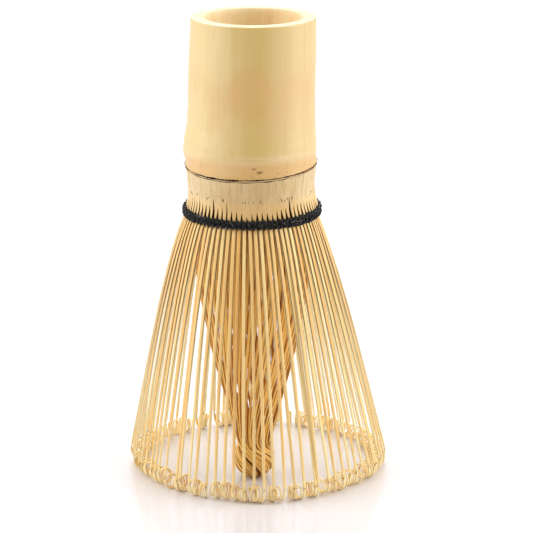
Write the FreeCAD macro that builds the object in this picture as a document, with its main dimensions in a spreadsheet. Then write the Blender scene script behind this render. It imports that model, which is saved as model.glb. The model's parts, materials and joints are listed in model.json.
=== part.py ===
import FreeCAD, Part
import math
import os

import Sketcher
from FreeCAD import Rotation, Vector

# Bamboo tea whisk (chasen).
# Frame: millimetres, +Z up. The origin is the middle of the ring of tine tips, on the surface
# that the whisk stands on. -Y is the front, the side that the core leans towards.

# Driving dimensions: alias, value, meaning.
DIMENSIONS = (
    ("TotalHeight", 106.0, "floor to rim of the handle"),
    ("StemOffset", -1.3, "X of the handle's axis; the tine tips are centred on X = 0"),
    ("BoreRadius", 11.15, "bore of the culm, above the diaphragm"),
    ("RimRadius", 14.2, "outside of the handle at the rim"),
    ("RimRound", 0.35, "rounding of the rim's outer edge"),
    ("HandleFlankRadius", 420.0, "arc of the handle's side, slightly full"),
    ("HandleBaseHeight", 82.0, "where the handle meets the swelling"),
    ("HandleBaseRadius", 14.6, "outside of the handle there"),
    ("SwellingRadius", 43.0, "arc of the swelling's side"),
    ("SwellingFootHeight", 72.5, "lower edge of the swelling"),
    ("SwellingFootRadius", 15.1, "outside of the swelling at its lower edge"),
    ("BoreFootHeight", 74.0, "lower end of the bore, where the diaphragm's seat begins"),
    ("DiaphragmTop", 73.8, "upper face of the diaphragm"),
    ("DiaphragmThickness", 1.4, "thickness of the diaphragm"),
    ("DiaphragmSeat", 12.05, "inside of the swelling around the diaphragm"),
    ("DiaphragmFit", 0.03, "gap between the diaphragm and its seat"),
    ("ScarHeight", 0.5, "height of the sheath scar"),
    ("ScarRadius", 15.15, "outside of the sheath scar"),
    ("CollarBore", 12.3, "inside of the collar"),
    ("CollarTopRadius", 14.85, "outside of the collar under the scar"),
    ("CollarFlankRadius", 26.0, "hollow arc of the collar's side"),
    ("CollarFootHeight", 62.0, "lower end of the collar's fingers"),
    ("CollarFootRadius", 14.6, "outside of the fingers at their lower end"),
    ("SlitHeight", 4.6, "length of the pointed slits between the fingers"),
    ("SlitWidth", 0.34, "width of a slit at its open end"),
    ("ThreadRadius", 0.5, "half of the height of one row of thread"),
    ("ThreadRingRadius", 15.33, "middle of the thread, from the handle's axis"),
    ("ThreadRowGap", 0.08, "gap between the two rows"),
    ("ThreadMiddle", 61.75, "height between the two rows"),
    ("KnotLength", 0.9, "half length of the thread's knot"),
    ("KnotStandoff", 0.35, "how far the thread's knot stands off the rows"),
    ("Splits", 16, "number of main splits of the culm"),
    ("TinesPerSplit", 5, "tines of one kind in one split"),
    ("RootTop", 61.9, "top of the outer tines, behind the thread"),
    ("RootHeld", 1.2, "length of the outer tines that the thread holds upright"),
    ("RootRadius", 14.45, "outer face of the outer tines at the thread"),
    ("RootThickness", 0.7, "thickness of an outer tine at its root"),
    ("TipThickness", 0.34, "thickness of an outer tine in its curl"),
    ("TineWidth", 0.82, "width of an outer tine"),
    ("Flare", 15.0, "how far the outer tines spread between thread and curl"),
    ("FlarePower", 0.78, "fullness of the spread, 1 being straight"),
    ("CurlEntryRadius", 5.0, "arc that leads from the tine into its curl"),
    ("CurlEntryTurn", 24.0, "turn of that arc, degrees"),
    ("CurlRadius", 1.72, "first turn of the curl, middle of the tine"),
    ("CurlTightening", 0.23, "how much smaller each further arc of the curl is"),
    ("CurlArcTurn", 140.0, "turn of each arc of the curl, degrees"),
    ("InnerRootTop", 61.0, "top of the inner tines"),
    ("InnerRootRadius", 12.3, "middle of the inner tines at their roots"),
    ("InnerRootWidth", 0.7, "width of an inner tine at its root"),
    ("InnerRootThickness", 0.24, "thickness of an inner tine at its root"),
    ("InnerTipWidth", 0.3, "width of an inner tine at the neck"),
    ("InnerTipThickness", 0.2, "thickness of an inner tine at the neck"),
    ("InnerBelly", 1.3, "how far the core bulges beyond a cone"),
    ("CoreTwist", -34.0, "turn of the inner tines about the core, degrees"),
    ("NeckHeight", 9.3, "where the core is thinnest"),
    ("NeckOffset", -0.9, "X of the neck"),
    ("CoreLean", -10.0, "Y of the neck: the core leans to the front"),
    ("NeckFirstLayer", 1.6, "innermost layer of tines at the neck"),
    ("NeckLayerStep", 0.5, "from one layer of tines to the next at the neck"),
    ("BallRadius", 4.5, "half width of the ball at the end of the core"),
    ("BallHeight", 8.7, "height of the ball"),
    ("BallTopRadius", 3.9, "flat top of the ball, under the neck"),
    ("BallGap", 0.05, "gap between the neck and the ball"),
)

OUTLINE_STATIONS = (0.0, 0.02, 0.06, 0.15, 0.3, 0.5, 0.75, 1.0)
INNER_STATIONS = (0.0, 0.25, 0.5, 0.75, 1.0)
CURL_ARCS = 3
FOOT_REFINEMENTS = 4
MODEL_FAILURES = ("Invalid", "Error")

doc = FreeCAD.newDocument("tea_whisk")
sheet = doc.addObject("Spreadsheet::Sheet", "Sizes")
nodes = []


def fill_sheet():
    for row, (alias, value, meaning) in enumerate(DIMENSIONS, start=1):
        sheet.set(f"A{row}", meaning)
        sheet.set(f"B{row}", str(value))
        sheet.setAlias(f"B{row}", alias)
    doc.recompute()


def size(expression):
    """Value of an expression over the sheet's cells, such as "Sizes.Flare / 2"."""
    return float(sheet.evalExpression(expression))


def cell(alias):
    return size(f"Sizes.{alias}")


# ---------------------------------------------------------------- turned pieces


def origin_plane(body, role):
    return next(f for f in body.Origin.OriginFeatures if f.Role == role)


def new_body(label):
    """A body that stands on the handle's axis."""
    body = doc.addObject("PartDesign::Body", label)
    body.Label = label
    body.setExpression("Placement.Base.x", "Sizes.StemOffset")
    nodes.append(body)
    return body


def new_sketch(body, name):
    sketch = body.newObject("Sketcher::SketchObject", name)
    sketch.AttachmentSupport = [(origin_plane(body, "XZ_Plane"), "")]
    sketch.MapMode = "FlatFace"
    return sketch


def place_point(sketch, geometry, position, x_expression, y_expression, name):
    """Hold one end of a line or arc at a place worked out from the sheet."""
    for axis, expression in (("X", x_expression), ("Y", y_expression)):
        value = size(expression)
        if value == 0:
            own_axis = -2 if axis == "X" else -1
            sketch.addConstraint(Sketcher.Constraint("PointOnObject", geometry, position, own_axis))
            continue
        index = sketch.addConstraint(
            Sketcher.Constraint("Distance" + axis, -1, 1, geometry, position, value)
        )
        sketch.renameConstraint(index, name + axis)
        sketch.setExpression(f"Constraints.{name}{axis}", expression)


def arc_between(start, end, radius, bulge):
    """Anticlockwise arc; bulge is +1 or -1, the right or left of the way from start to end."""
    chord = end - start
    half = chord.Length / 2
    side = Vector(chord.y, -chord.x, 0).normalize() * bulge
    middle = (start + end) / 2 + side * (radius - math.sqrt(radius**2 - half**2))
    return Part.Arc(start, middle, end) if bulge > 0 else Part.Arc(end, middle, start)


def outline(sketch, corners):
    """Closed outline. A corner is (x, y) or (x, y, radius, bulge), in expressions over the
    sheet; with a radius, the side that leaves that corner is an arc."""
    points = [Vector(size(c[0]), size(c[1]), 0) for c in corners]
    for index, corner in enumerate(corners):
        start, end = points[index], points[(index + 1) % len(points)]
        if len(corner) == 4:
            arc = arc_between(start, end, size(corner[2]), corner[3])
            sketch.addGeometry(arc, False)
        else:
            sketch.addGeometry(Part.LineSegment(start, end), False)
    ends = []
    for index in range(len(corners)):
        geometry = sketch.Geometry[index]
        begins_here = geometry.StartPoint.distanceToPoint(points[index]) < 1e-6
        ends.append((1, 2) if begins_here else (2, 1))
    for index, corner in enumerate(corners):
        following = (index + 1) % len(corners)
        sketch.addConstraint(
            Sketcher.Constraint("Coincident", index, ends[index][1], following, ends[following][0])
        )
        place_point(sketch, index, ends[index][0], corner[0], corner[1], f"Corner{index}")
        if len(corner) == 4:
            radius = Sketcher.Constraint("Radius", index, size(corner[2]))
            number = sketch.addConstraint(radius)
            sketch.renameConstraint(number, f"Arc{index}")
            sketch.setExpression(f"Constraints.Arc{index}", corner[2])
    doc.recompute()


def turned_body(label, corners):
    """A body of revolution about its own Z axis; corners are (radius, height)."""
    body = new_body(label)
    sketch = new_sketch(body, label + "_outline")
    outline(sketch, corners)
    revolution = body.newObject("PartDesign::Revolution", label + "_turned")
    revolution.Profile = sketch
    revolution.ReferenceAxis = (sketch, ["V_Axis"])
    revolution.Angle = 360
    body.Tip = revolution
    doc.recompute()
    return body


def handle_tube():
    body = turned_body(
        "handle_tube",
        (
            ("Sizes.BoreRadius", "Sizes.HandleBaseHeight"),
            ("Sizes.HandleBaseRadius", "Sizes.HandleBaseHeight", "Sizes.HandleFlankRadius", 1),
            ("Sizes.RimRadius", "Sizes.TotalHeight"),
            ("Sizes.BoreRadius", "Sizes.TotalHeight"),
        ),
    )
    turned = body.Tip
    rounding = body.newObject("PartDesign::Fillet", "handle_tube_rim")
    rounding.Base = (turned, [outer_top_edge(turned.Shape)])
    rounding.setExpression("Radius", "Sizes.RimRound")
    body.Tip = rounding
    doc.recompute()


def outer_top_edge(shape):
    """Name of the largest circle at the top of a turned shape."""
    circles = [
        (edge.Curve.Radius, f"Edge{number}")
        for number, edge in enumerate(shape.Edges, start=1)
        if isinstance(edge.Curve, Part.Circle) and edge.Curve.Center.z > cell("TotalHeight") - 1e-6
    ]
    return max(circles)[1]


def node_swelling():
    turned_body(
        "node_swelling",
        (
            ("Sizes.DiaphragmSeat", "Sizes.SwellingFootHeight"),
            ("Sizes.SwellingFootRadius", "Sizes.SwellingFootHeight", "Sizes.SwellingRadius", 1),
            ("Sizes.HandleBaseRadius", "Sizes.HandleBaseHeight"),
            ("Sizes.BoreRadius", "Sizes.HandleBaseHeight"),
            ("Sizes.BoreRadius", "Sizes.BoreFootHeight"),
            ("Sizes.DiaphragmSeat", "Sizes.BoreFootHeight"),
        ),
    )


def node_diaphragm():
    underside = "Sizes.DiaphragmTop - Sizes.DiaphragmThickness"
    edge = "Sizes.DiaphragmSeat - Sizes.DiaphragmFit"
    turned_body(
        "node_diaphragm",
        (("0", underside), (edge, underside), (edge, "Sizes.DiaphragmTop"), ("0", "Sizes.DiaphragmTop")),
    )


def sheath_scar():
    foot = "Sizes.SwellingFootHeight - Sizes.ScarHeight"
    turned_body(
        "sheath_scar",
        (
            ("Sizes.CollarBore", foot),
            ("Sizes.ScarRadius", foot),
            ("Sizes.ScarRadius", "Sizes.SwellingFootHeight"),
            ("Sizes.CollarBore", "Sizes.SwellingFootHeight"),
        ),
    )


def collar_slits():
    """The pointed slits between the fingers, as one group of thin wedges."""
    foot = cell("CollarFootHeight")
    half = cell("SlitWidth") / 2
    corners = [
        Vector(0, -half, foot),
        Vector(0, half, foot),
        Vector(0, 0, foot + cell("SlitHeight")),
    ]
    wedge = Part.Face(Part.makePolygon(corners + corners[:1]))
    wedge = wedge.extrude(Vector(cell("CollarTopRadius") + 1, 0, 0))
    count = int(cell("Splits") * cell("TinesPerSplit"))
    wedges = []
    for number in range(count):
        copy = wedge.copy()
        copy.rotate(Vector(0, 0, 0), Vector(0, 0, 1), 360 * number / count)
        copy.translate(Vector(cell("StemOffset"), 0, 0))
        wedges.append(copy.common(slit_zone()))
    slits = doc.addObject("Part::Feature", "collar_slits")
    slits.Label = "collar_slits"
    slits.Shape = Part.makeCompound(wedges)
    return slits


def slit_zone():
    """The ring that the slits stay in, so that they don't meet at the axis."""
    foot, depth = cell("CollarFootHeight") - 1, cell("SlitHeight") + 2
    centre = Vector(cell("StemOffset"), 0, foot)
    outside = Part.makeCylinder(cell("CollarTopRadius") + 1, depth, centre)
    return outside.cut(Part.makeCylinder(cell("CollarBore") - 1, depth, centre))


def collar():
    """The shaved culm below the node, slit into pointed fingers at its lower end."""
    top = "Sizes.SwellingFootHeight - Sizes.ScarHeight"
    blank = turned_body(
        "collar_blank",
        (
            ("Sizes.CollarBore", "Sizes.CollarFootHeight"),
            ("Sizes.CollarFootRadius", "Sizes.CollarFootHeight", "Sizes.CollarFlankRadius", -1),
            ("Sizes.CollarTopRadius", top),
            ("Sizes.CollarBore", top),
        ),
    )
    nodes.remove(blank)
    slit_collar = doc.addObject("Part::Cut", "collar")
    slit_collar.Label = "collar"
    slit_collar.Base = blank
    slit_collar.Tool = collar_slits()
    nodes.append(slit_collar)
    doc.recompute()
    if slit_collar.Shape.Volume > blank.Shape.Volume * 0.98:
        raise RuntimeError("the slits cut nothing out of the collar")


# ---------------------------------------------------------------- thread


def thread_row(label, side):
    """One row of thread; side is +1 for the upper row and -1 for the lower."""
    ring = doc.addObject("Part::Torus", label)
    ring.Label = label
    ring.setExpression("Radius1", "Sizes.ThreadRingRadius")
    ring.setExpression("Radius2", "Sizes.ThreadRadius")
    ring.setExpression("Placement.Base.x", "Sizes.StemOffset")
    offset = "(Sizes.ThreadRadius + Sizes.ThreadRowGap / 2)"
    ring.setExpression("Placement.Base.z", f"Sizes.ThreadMiddle + {side} * {offset}")
    nodes.append(ring)


def thread_knot():
    """The knot lies on the two rows at the back."""
    knot = doc.addObject("Part::Ellipsoid", "thread_knot")
    knot.Label = "thread_knot"
    knot.setExpression("Radius1", "Sizes.ThreadRadius * 2")
    knot.setExpression("Radius2", "Sizes.KnotLength")
    knot.setExpression("Radius3", "Sizes.ThreadRadius")
    knot.setExpression("Placement.Base.x", "Sizes.StemOffset")
    knot.setExpression("Placement.Base.y", "Sizes.ThreadRingRadius + Sizes.KnotStandoff")
    knot.setExpression("Placement.Base.z", "Sizes.ThreadMiddle")
    nodes.append(knot)


# ---------------------------------------------------------------- outer tines


class TinePlane:
    """The upright plane of one outer tine: d runs outwards from the tine's root, z is height."""

    def __init__(self, angle):
        outwards = Vector(math.cos(angle), math.sin(angle), 0)
        middle_radius = cell("RootRadius") - cell("RootThickness") / 2
        self.root = Vector(cell("StemOffset"), 0, 0) + outwards * middle_radius
        reach = outwards * (middle_radius + cell("Flare")) - self.root
        self.flare = reach.Length
        self.outwards = reach.normalize()
        self.side = self.outwards.cross(Vector(0, 0, 1))

    def point(self, flat):
        return self.root + self.outwards * flat.x + Vector(0, 0, flat.y)


def offset_point(point, direction, distance):
    """Move a flat point to the left of a flat direction."""
    left = Vector(-direction.y, direction.x, 0).normalize()
    return point + left * distance


def shaft_stations(flare, foot_height):
    """Middle line of a tine from root to curl, with its direction and half thickness.
    The thread holds the first stretch upright; below it the tine spreads as a power curve."""
    top = cell("RootTop")
    release = top - cell("RootHeld")
    depth = release - foot_height
    power = cell("FlarePower")
    root_half, tip_half = cell("RootThickness") / 2, cell("TipThickness") / 2
    stations = [(Vector(0, top, 0), Vector(0, -1, 0), root_half)]
    for share in OUTLINE_STATIONS:
        point = Vector(flare * share**power, release - depth * share, 0)
        slope = flare * power * share ** (power - 1) if share > 0 else 0
        direction = Vector(slope, -depth, 0).normalize()
        stations.append((point, direction, root_half + (tip_half - root_half) * share))
    return stations


def curl_arcs(start, direction):
    """Arcs of the curl as (centre, start vector, turn); they turn inwards and tighten."""
    radii = [cell("CurlEntryRadius")]
    turns = [math.radians(cell("CurlEntryTurn"))]
    for index in range(CURL_ARCS):
        radii.append(cell("CurlRadius") - index * cell("CurlTightening"))
        turns.append(math.radians(cell("CurlArcTurn")))
    arcs = []
    for radius, turn in zip(radii, turns):
        inwards = Vector(direction.y, -direction.x, 0).normalize()
        centre = start + inwards * radius
        arcs.append((centre, start - centre, turn))
        start = centre + swung(start - centre, -turn)
        direction = swung(direction, -turn)
    return arcs


def swung(flat, angle):
    return Rotation(Vector(0, 0, 1), math.degrees(angle)).multVec(flat)


def curl_side(plane, arcs, distance):
    """Edges of the curl's face that lies outside (+) or inside (-) its middle line."""
    edges = []
    for centre, spoke, turn in arcs:
        reach = spoke * ((spoke.Length + distance) / spoke.Length)
        marks = [centre + swung(reach, -turn * part) for part in (0, 0.5, 1)]
        edges.append(Part.Arc(*[plane.point(mark) for mark in marks]).toShape())
    return edges


def curl_drop(direction):
    """Depth of the curl's lowest face below the end of the shaft."""
    centre, spoke, _ = curl_arcs(Vector(0, 0, 0), direction)[1]
    return spoke.Length + cell("TipThickness") / 2 - centre.y


def outer_tine(angle):
    """One tine: a strip as wide as TineWidth, cut to its side outline."""
    plane = TinePlane(angle)
    foot_height = cell("CurlRadius")
    for refinement in range(FOOT_REFINEMENTS):
        end_direction = shaft_stations(plane.flare, foot_height)[-1][1]
        foot_height = curl_drop(end_direction)
    stations = shaft_stations(plane.flare, foot_height)
    end_point, end_direction, half = stations[-1]
    arcs = curl_arcs(end_point, end_direction)
    sides = []
    for sign in (1, -1):
        marks = [offset_point(p, d, sign * width) for p, d, width in stations]
        upright = Part.LineSegment(plane.point(marks[0]), plane.point(marks[1])).toShape()
        curve = Part.BSplineCurve()
        curve.interpolate([plane.point(mark) for mark in marks[1:]])
        sides.append([upright, curve.toShape()] + curl_side(plane, arcs, sign * half))
    closings = [
        Part.LineSegment(sides[0][k].Vertexes[v].Point, sides[1][k].Vertexes[v].Point).toShape()
        for k, v in ((0, 0), (-1, -1))
    ]
    face = Part.Face(Part.Wire(Part.__sortEdges__(sides[0] + sides[1] + closings)))
    width = cell("TineWidth")
    strip = face.extrude(plane.side * width)
    strip.translate(plane.side * (-width / 2))
    return strip


# ---------------------------------------------------------------- inner tines and core


def inner_section(along, angle, layer):
    """Level cross-section of an inner tine, along (0 to 1) from its root to the neck."""
    root_axis = Vector(cell("StemOffset"), 0, cell("InnerRootTop"))
    neck_axis = Vector(cell("NeckOffset"), cell("CoreLean"), cell("NeckHeight"))
    axis = root_axis + (neck_axis - root_axis) * along
    neck_radius = cell("NeckFirstLayer") + layer * cell("NeckLayerStep")
    radius = cell("InnerRootRadius") * (1 - along) + neck_radius * along
    radius += cell("InnerBelly") * math.sin(math.pi * along)
    narrowing = min(1, along * 2)
    width = cell("InnerRootWidth") * (1 - narrowing) + cell("InnerTipWidth") * narrowing
    thickness = cell("InnerRootThickness") * (1 - along) + cell("InnerTipThickness") * along
    outwards = Vector(math.cos(angle), math.sin(angle), 0)
    across = Vector(-math.sin(angle), math.cos(angle), 0)
    corners = [
        axis + outwards * (radius + a * thickness / 2) + across * (b * width / 2)
        for a, b in ((-1, -1), (1, -1), (1, 1), (-1, 1))
    ]
    return Part.makePolygon(corners + corners[:1])


def inner_tine(split_angle, index, pitch):
    """A thin strip that turns about the core on its way down, in a layer of its own."""
    middle = (cell("TinesPerSplit") - 1) / 2
    root_angle = split_angle + (index - middle) * pitch
    neck_angle = split_angle + math.radians(cell("CoreTwist"))
    sections = [
        inner_section(along, root_angle + (neck_angle - root_angle) * along, index)
        for along in INNER_STATIONS
    ]
    return Part.makeLoft(sections, True, False)


def add_tine_group(label, tines):
    group = doc.addObject("Part::Feature", label)
    group.Label = label
    group.Shape = Part.makeCompound(tines)
    nodes.append(group)


def tine_groups():
    splits, per_split = int(cell("Splits")), int(cell("TinesPerSplit"))
    pitch = 2 * math.pi / (splits * per_split)
    for number in range(splits):
        split_angle = (number + 0.5) * per_split * pitch
        outer = [outer_tine((number * per_split + k + 0.5) * pitch) for k in range(per_split)]
        add_tine_group(f"outer_tines_{number + 1:02d}", outer)
        inner = [inner_tine(split_angle, k, pitch) for k in range(per_split)]
        add_tine_group(f"inner_tines_{number + 1:02d}", inner)


def core_knot():
    """The ball that the inner tines are wrapped into, under the neck."""
    top = "Sizes.BallHeight"
    body = turned_body(
        "core_knot",
        (
            ("0", "0"),
            ("Sizes.BallTopRadius / 2", "0", "Sizes.BallRadius * 1.25", 1),
            ("Sizes.BallRadius", "Sizes.BallHeight / 2", "Sizes.BallRadius * 2.4", 1),
            ("Sizes.BallTopRadius", top),
            ("0", top),
        ),
    )
    body.setExpression("Placement.Base.x", "Sizes.NeckOffset")
    body.setExpression("Placement.Base.y", "Sizes.CoreLean")
    body.setExpression("Placement.Base.z", "Sizes.NeckHeight - Sizes.BallGap - Sizes.BallHeight")


# ---------------------------------------------------------------- checks and files


def check_model():
    doc.recompute()
    for item in doc.Objects:
        failed = [state for state in item.State if state in MODEL_FAILURES]
        if failed:
            raise RuntimeError(f"{item.Name} is {failed}")
    for node in nodes:
        if node.Shape.isNull() or not node.Shape.isValid():
            raise RuntimeError(f"{node.Label} has no valid shape")


def write_parts():
    os.makedirs("parts", exist_ok=True)
    for node in nodes:
        node.Shape.exportStep(f"parts/{node.Label}.step")


fill_sheet()
handle_tube()
node_swelling()
node_diaphragm()
sheath_scar()
collar()
thread_row("thread_upper_row", 1)
thread_row("thread_lower_row", -1)
thread_knot()
tine_groups()
core_knot()
check_model()
write_parts()
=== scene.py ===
import json
import math
import random

import bpy
from mathutils import Matrix, Vector, noise


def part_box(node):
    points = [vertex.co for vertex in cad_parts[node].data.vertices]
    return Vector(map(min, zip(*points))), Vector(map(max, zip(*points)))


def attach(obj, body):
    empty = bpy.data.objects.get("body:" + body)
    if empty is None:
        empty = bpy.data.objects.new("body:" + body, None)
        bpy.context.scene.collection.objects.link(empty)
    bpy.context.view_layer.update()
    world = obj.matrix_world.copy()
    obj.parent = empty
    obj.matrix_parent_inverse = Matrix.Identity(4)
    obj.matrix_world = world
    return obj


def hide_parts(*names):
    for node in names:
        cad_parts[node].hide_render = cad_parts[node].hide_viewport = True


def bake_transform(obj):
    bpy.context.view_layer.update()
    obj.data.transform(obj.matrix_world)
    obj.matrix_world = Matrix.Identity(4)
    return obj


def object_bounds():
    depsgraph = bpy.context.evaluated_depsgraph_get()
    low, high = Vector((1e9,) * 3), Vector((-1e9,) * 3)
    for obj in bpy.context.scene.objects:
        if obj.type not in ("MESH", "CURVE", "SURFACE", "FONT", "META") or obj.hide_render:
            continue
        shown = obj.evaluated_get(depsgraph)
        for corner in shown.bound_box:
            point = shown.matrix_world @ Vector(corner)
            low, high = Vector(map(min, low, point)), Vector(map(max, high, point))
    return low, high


# Bamboo tea whisk. Metres, +Z up, -Y is the front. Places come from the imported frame.
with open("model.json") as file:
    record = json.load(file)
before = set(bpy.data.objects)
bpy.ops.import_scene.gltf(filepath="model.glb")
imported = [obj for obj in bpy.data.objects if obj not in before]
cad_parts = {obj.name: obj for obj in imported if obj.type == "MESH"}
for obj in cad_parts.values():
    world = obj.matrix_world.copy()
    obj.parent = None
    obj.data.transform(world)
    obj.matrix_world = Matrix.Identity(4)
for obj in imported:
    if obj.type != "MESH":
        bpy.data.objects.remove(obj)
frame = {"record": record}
cad_low, cad_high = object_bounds()

MM = 0.001
TINE_GROUPS = 16
TINES_PER_GROUP = 5
TINE_COUNT = TINE_GROUPS * TINES_PER_GROUP
PITCH = 2 * math.pi / TINE_COUNT

# -------- places read from the frame

handle_low, handle_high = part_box("handle_tube")
swelling_low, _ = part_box("node_swelling")
_, scar_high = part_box("sheath_scar")
upper_low, upper_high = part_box("thread_upper_row")
lower_low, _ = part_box("thread_lower_row")
knot_low, knot_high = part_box("core_knot")
diaphragm_low, diaphragm_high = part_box("node_diaphragm")

STEM = (upper_low + upper_high) / 2  # on the handle's axis, at the height of the thread
TOP = handle_high.z
SCAR_Z = scar_high.z
BORE = next(m["dims"]["r_mm"] for m in frame["record"]["mounts"] if m["kind"] == "bore") * MM
SEAT = (diaphragm_high.x - diaphragm_low.x) / 2  # inside radius of the culm below the bore
RING = (cad_high.x - cad_low.x) / 2  # greatest radius of the tine ring
THREAD_OUT = (upper_high.x - upper_low.x) / 2
THREAD_Z = (lower_low.z + upper_high.z) / 2
NECK = Vector(((knot_low.x + knot_high.x) / 2, (knot_low.y + knot_high.y) / 2, knot_high.z))
BALL_RADIUS = (knot_high.x - knot_low.x) / 2
BALL = Vector((NECK.x, NECK.y, (knot_low.z + knot_high.z) / 2))


# -------- mesh helpers


def on_axis(z):
    return Vector((STEM.x, STEM.y, z))


def lerp(a, b, share):
    return a + (b - a) * share


def smooth_step(low, high, value):
    share = min(1.0, max(0.0, (value - low) / (high - low)))
    return share * share * (3 - 2 * share)


def profile_value(table, key):
    """Smooth value from a short list of (key, value) pairs in rising order of key."""
    if key <= table[0][0]:
        return table[0][1]
    for (k0, v0), (k1, v1) in zip(table, table[1:]):
        if key <= k1:
            return lerp(v0, v1, smooth_step(k0, k1, key))
    return table[-1][1]


def wave_noise(*place):
    return noise.noise(Vector(place))


def turn_angles(steps):
    return [2 * math.pi * k / steps for k in range(steps)]


def direction(angle):
    """Level unit vector at an angle from +X."""
    return Vector((math.cos(angle), math.sin(angle), 0))


def ring_faces(low, high, sides):
    """Quads between two rings of points; low and high are the rings' first points."""
    faces = []
    for k in range(sides):
        n = (k + 1) % sides
        faces.append((low + k, low + n, high + n, high + k))
    return faces


def make_piece(name, vertices, faces, materials, face_material=None, point_data=None):
    mesh = bpy.data.meshes.new(name)
    mesh.from_pydata([tuple(v) for v in vertices], [], faces)
    for material in materials:
        mesh.materials.append(material)
    if face_material:
        mesh.polygons.foreach_set("material_index", face_material)
    mesh.polygons.foreach_set("use_smooth", [True] * len(mesh.polygons))
    for key, values in (point_data or {}).items():
        if isinstance(values[0], float):
            mesh.attributes.new(key, "FLOAT", "POINT").data.foreach_set("value", values)
        else:
            flat = [number for vector in values for number in vector]
            mesh.attributes.new(key, "FLOAT_VECTOR", "POINT").data.foreach_set("vector", flat)
    mesh.validate()
    mesh.update()
    piece = bpy.data.objects.new(name, mesh)
    bpy.context.scene.collection.objects.link(piece)
    return piece


class Strips:
    """Collects swept strips and tubes that share one mesh, and what their materials read:
    tone of the strip, place in its grain, cut flesh and skin edge."""

    def __init__(self):
        self.vertices, self.faces = [], []
        self.tone, self.grain, self.flesh, self.edge = [], [], [], []

    def sweep(self, path, section, tone, closed=False):
        """path is a list of (point, outward, across, half width, half thickness); section is a
        list of (across, outward) in units of the half sizes, anticlockwise."""
        first = len(self.vertices)
        count = len(section)
        travelled = 0.0
        for index, (point, outward, across, half_width, half_thick) in enumerate(path):
            if index:
                travelled += (point - path[index - 1][0]).length
            for a, b in section:
                self.vertices.append(point + across * (a * half_width) + outward * (b * half_thick))
                self.tone.append(tone)
                self.grain.append((tone * 7 + a * half_width / MM, b, travelled / MM))
                self.flesh.append(0.0 if b >= 0.8 else 1.0)
                self.edge.append(1.0 if abs(a) >= 1 and b > 0.1 else 0.0)
        rings = len(path)
        for ring in range(rings if closed else rings - 1):
            low = first + ring * count
            high = first + ((ring + 1) % rings) * count
            self.faces += ring_faces(low, high, count)
        if not closed:
            self.faces.append(tuple(first + k for k in reversed(range(count))))
            self.faces.append(tuple(first + (rings - 1) * count + k for k in range(count)))

    def piece(self, name, material):
        data = {"tone": self.tone, "grain": self.grain, "flesh": self.flesh, "edge": self.edge}
        return make_piece(name, self.vertices, self.faces, [material], point_data=data)


def rounded_section(corner):
    """Flat strip with bevelled edges, in units of its half width and half thickness."""
    c = 1 - corner
    return [(1, -c), (1, c), (c, 1), (-c, 1), (-1, c), (-1, -c), (-c, -1), (c, -1)]


def domed_section():
    """Strip whose outer face is slightly domed, in the same units."""
    half = [(1, -0.75), (1, -0.05), (1, 0.2), (1, 0.5), (0.78, 0.84), (0.34, 1.0)]
    return half + [(-a, b) for a, b in reversed(half)] + [(-0.75, -1), (0.75, -1)]


def round_section(sides):
    return [(math.cos(a), math.sin(a)) for a in turn_angles(sides)]


def with_frames(points, outwards, half_widths, half_thicks):
    """Path entries for sweep: the outward hints are made square to the line."""
    path = []
    last = len(points) - 1
    for i, point in enumerate(points):
        along = (points[min(i + 1, last)] - points[max(i - 1, 0)]).normalized()
        outward = (outwards[i] - along * outwards[i].dot(along)).normalized()
        across = outward.cross(along)
        path.append((point, outward, across, half_widths[i], half_thicks[i]))
    return path


def smoothed(points, rounds, fixed):
    """Evens out a line of points; the first few stay where they are."""
    for _ in range(rounds):
        fresh = list(points)
        for i in range(fixed, len(points) - 1):
            fresh[i] = (points[i - 1] + points[i] * 2 + points[i + 1]) / 4
        points = fresh
    return points


# -------- material helpers


MIX_SHARE, MIX_A, MIX_B, MIX_RESULT = 0, 6, 7, 2  # sockets of a Mix node that mixes colours


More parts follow.
